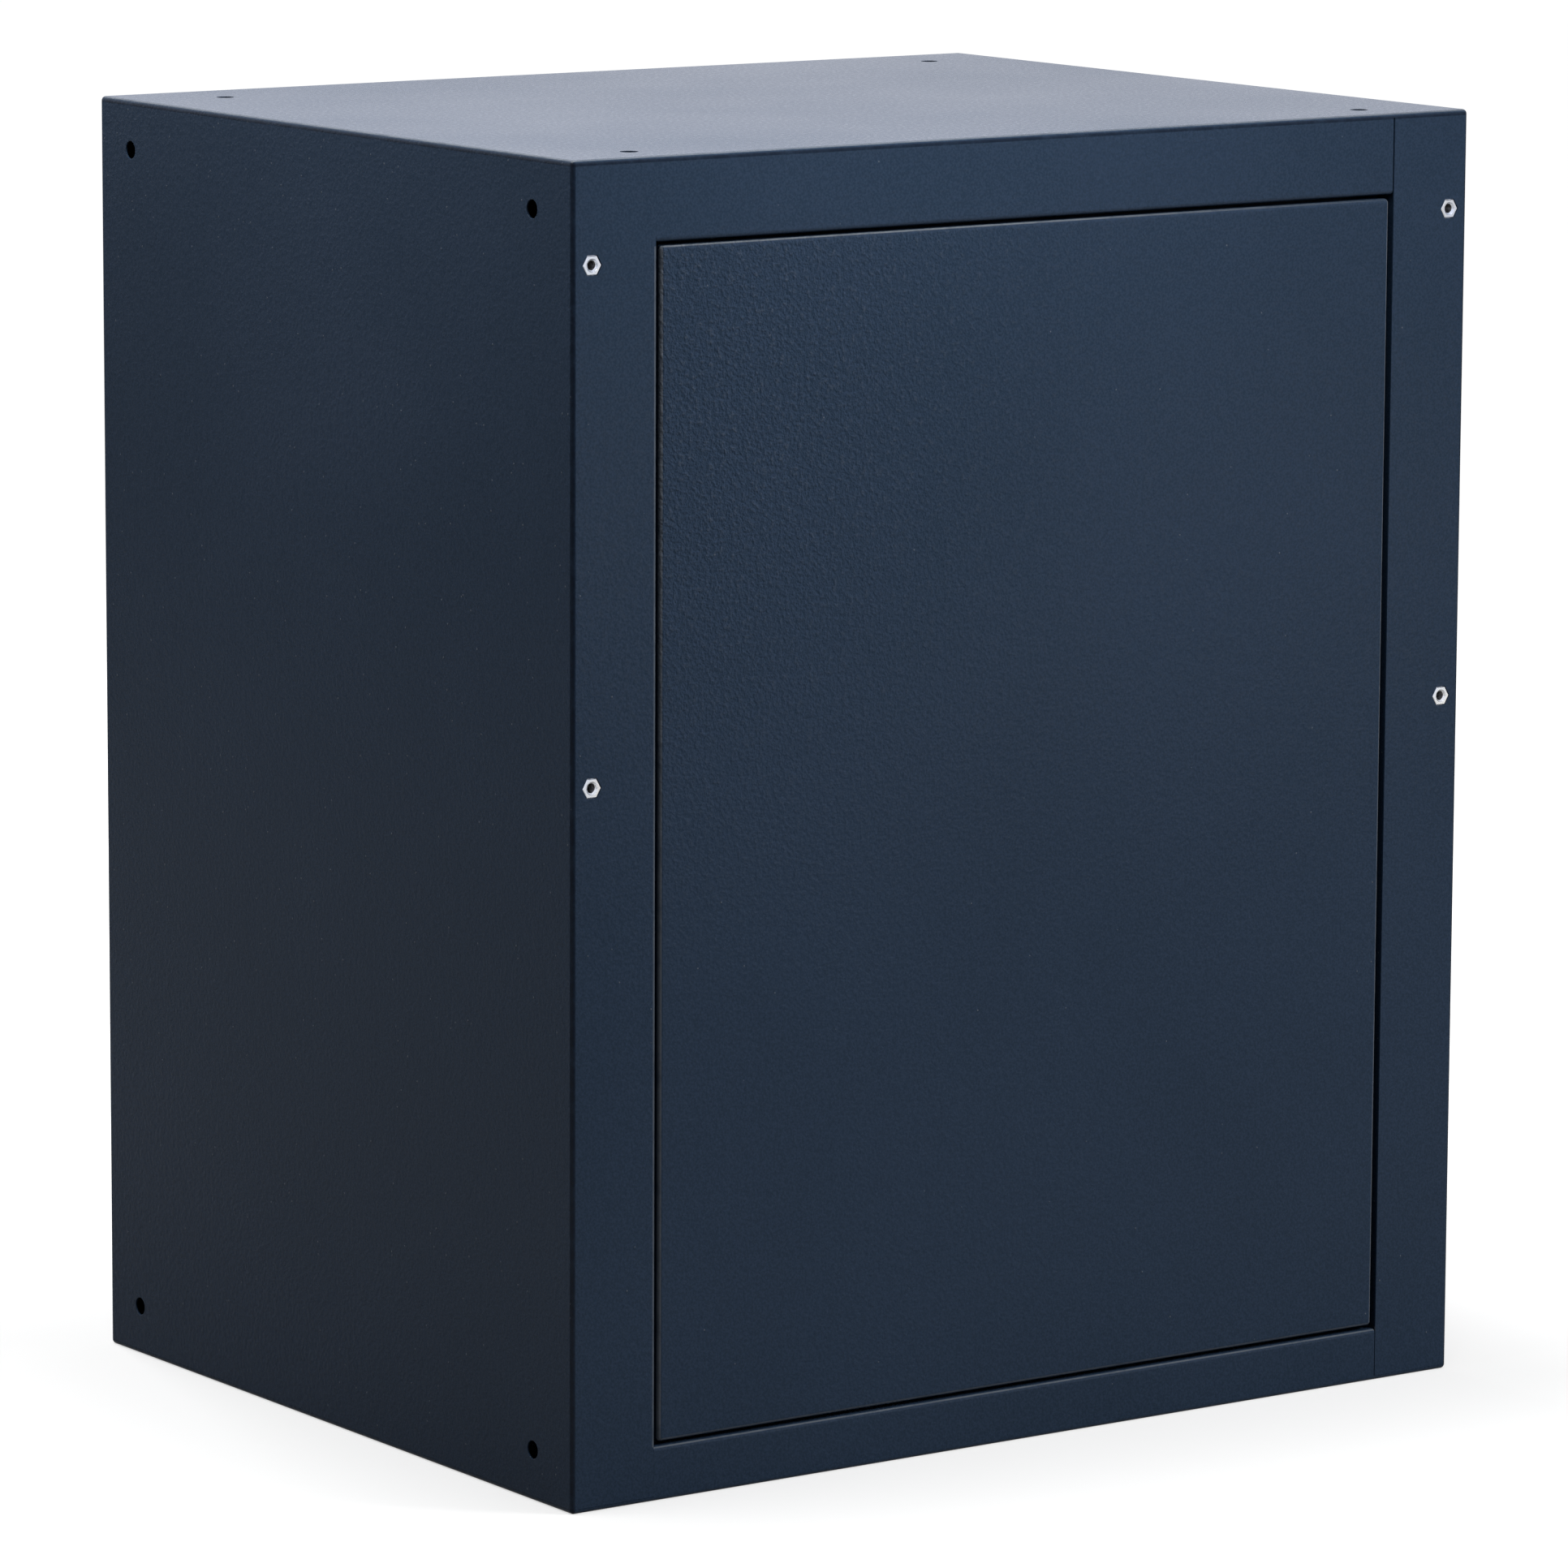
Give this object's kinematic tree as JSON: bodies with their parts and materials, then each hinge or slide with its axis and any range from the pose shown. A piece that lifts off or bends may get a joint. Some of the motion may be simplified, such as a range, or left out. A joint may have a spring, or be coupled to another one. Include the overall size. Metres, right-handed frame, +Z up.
{
  "type": "workshop cabinet",
  "caption": "Folded sheet steel base cabinet with a flush lockable door, an adjustable shelf, an inset rear panel and bolt holes for joining modules.",
  "frame": {"origin": "centre of the footprint on the floor", "axes": "+Z up, the door faces -Y, the inset rear panel faces +Y, +X to the right as seen from the door"},
  "size_m": [0.6, 0.48, 0.72],
  "materials": {
    "paint": "fine textured powder coat",
    "zinc": "bright zinc plating",
    "nylon": "dark moulded nylon",
    "rubber": "matt",
    "dish": "fine spark texture",
    "grip": "black coated die casting",
    "key": "satin nickel"
  },
  "bodies": {
    "carcass": {"side_panel_left": "paint", "side_panel_right": "paint", "top_panel": "paint", "bottom_panel": "paint", "rear_panel": "paint", "rear_rail_left": "paint", "rear_rail_right": "paint", "rear_panel_screws": "zinc", "rivet_nuts": "zinc", "shelf_post_left_front": "paint", "shelf_post_left_rear": "paint", "shelf_post_right_front": "paint", "shelf_post_right_rear": "paint", "shelf_clips": "zinc", "hinge_pin_upper": "zinc", "hinge_pin_lower": "zinc", "door_stop_upper": "paint", "door_stop_lower": "paint", "door_buffers": "rubber"},
    "door": {"door_skin": "paint", "door_rib": "paint", "hinge_bush_upper": "nylon", "hinge_bush_lower": "nylon", "handle_dish": "dish", "lock_bracket": "zinc", "lock_screws": "zinc", "rod_guide_upper": "nylon", "rod_guide_lower": "nylon", "guide_screws": "zinc"},
    "handle": {"handle_grip": "grip", "drive_disc": "zinc", "tail_nut": "zinc"},
    "key": {"key_barrel": "key"},
    "upper_rod": {"lock_rod_upper": "zinc"},
    "lower_rod": {"lock_rod_lower": "zinc"},
    "shelf": {"shelf_tray": "paint", "shelf_stiffener": "paint"}
  },
  "joints": [
    {"name": "door_hinge", "type": "hinge", "parent": "carcass", "child": "door", "pos_m": [-0.255, -0.23, 0.3525], "axis": [0, 0, -1], "range_deg": [0, 110]},
    {"name": "handle_turn", "type": "hinge", "parent": "door", "child": "handle", "pos_m": [0.191, -0.2215, 0.3525], "axis": [0, 1, 0], "range_deg": [0, 90]},
    {"name": "key_turn", "type": "hinge", "parent": "handle", "child": "key", "pos_m": [0.191, -0.2215, 0.3525], "axis": [0, 1, 0], "range_deg": [0, 90]},
    {"name": "upper_rod_slide", "type": "slide", "parent": "door", "child": "upper_rod", "axis": [0, 0, 1], "range_m": [0, 0.02547]},
    {"name": "lower_rod_slide", "type": "slide", "parent": "door", "child": "lower_rod", "axis": [0, 0, -1], "range_m": [0, 0.02547]},
    {"name": "shelf_lift", "type": "slide", "parent": "carcass", "child": "shelf", "axis": [0, 0, 1], "range_m": [0, 0.025]}
  ],
  "couplings": [
    {"joint": "upper_rod_slide", "follows": "handle_turn", "m_per_rad": 0.016206},
    {"joint": "lower_rod_slide", "follows": "handle_turn", "m_per_rad": 0.016206}
  ]
}
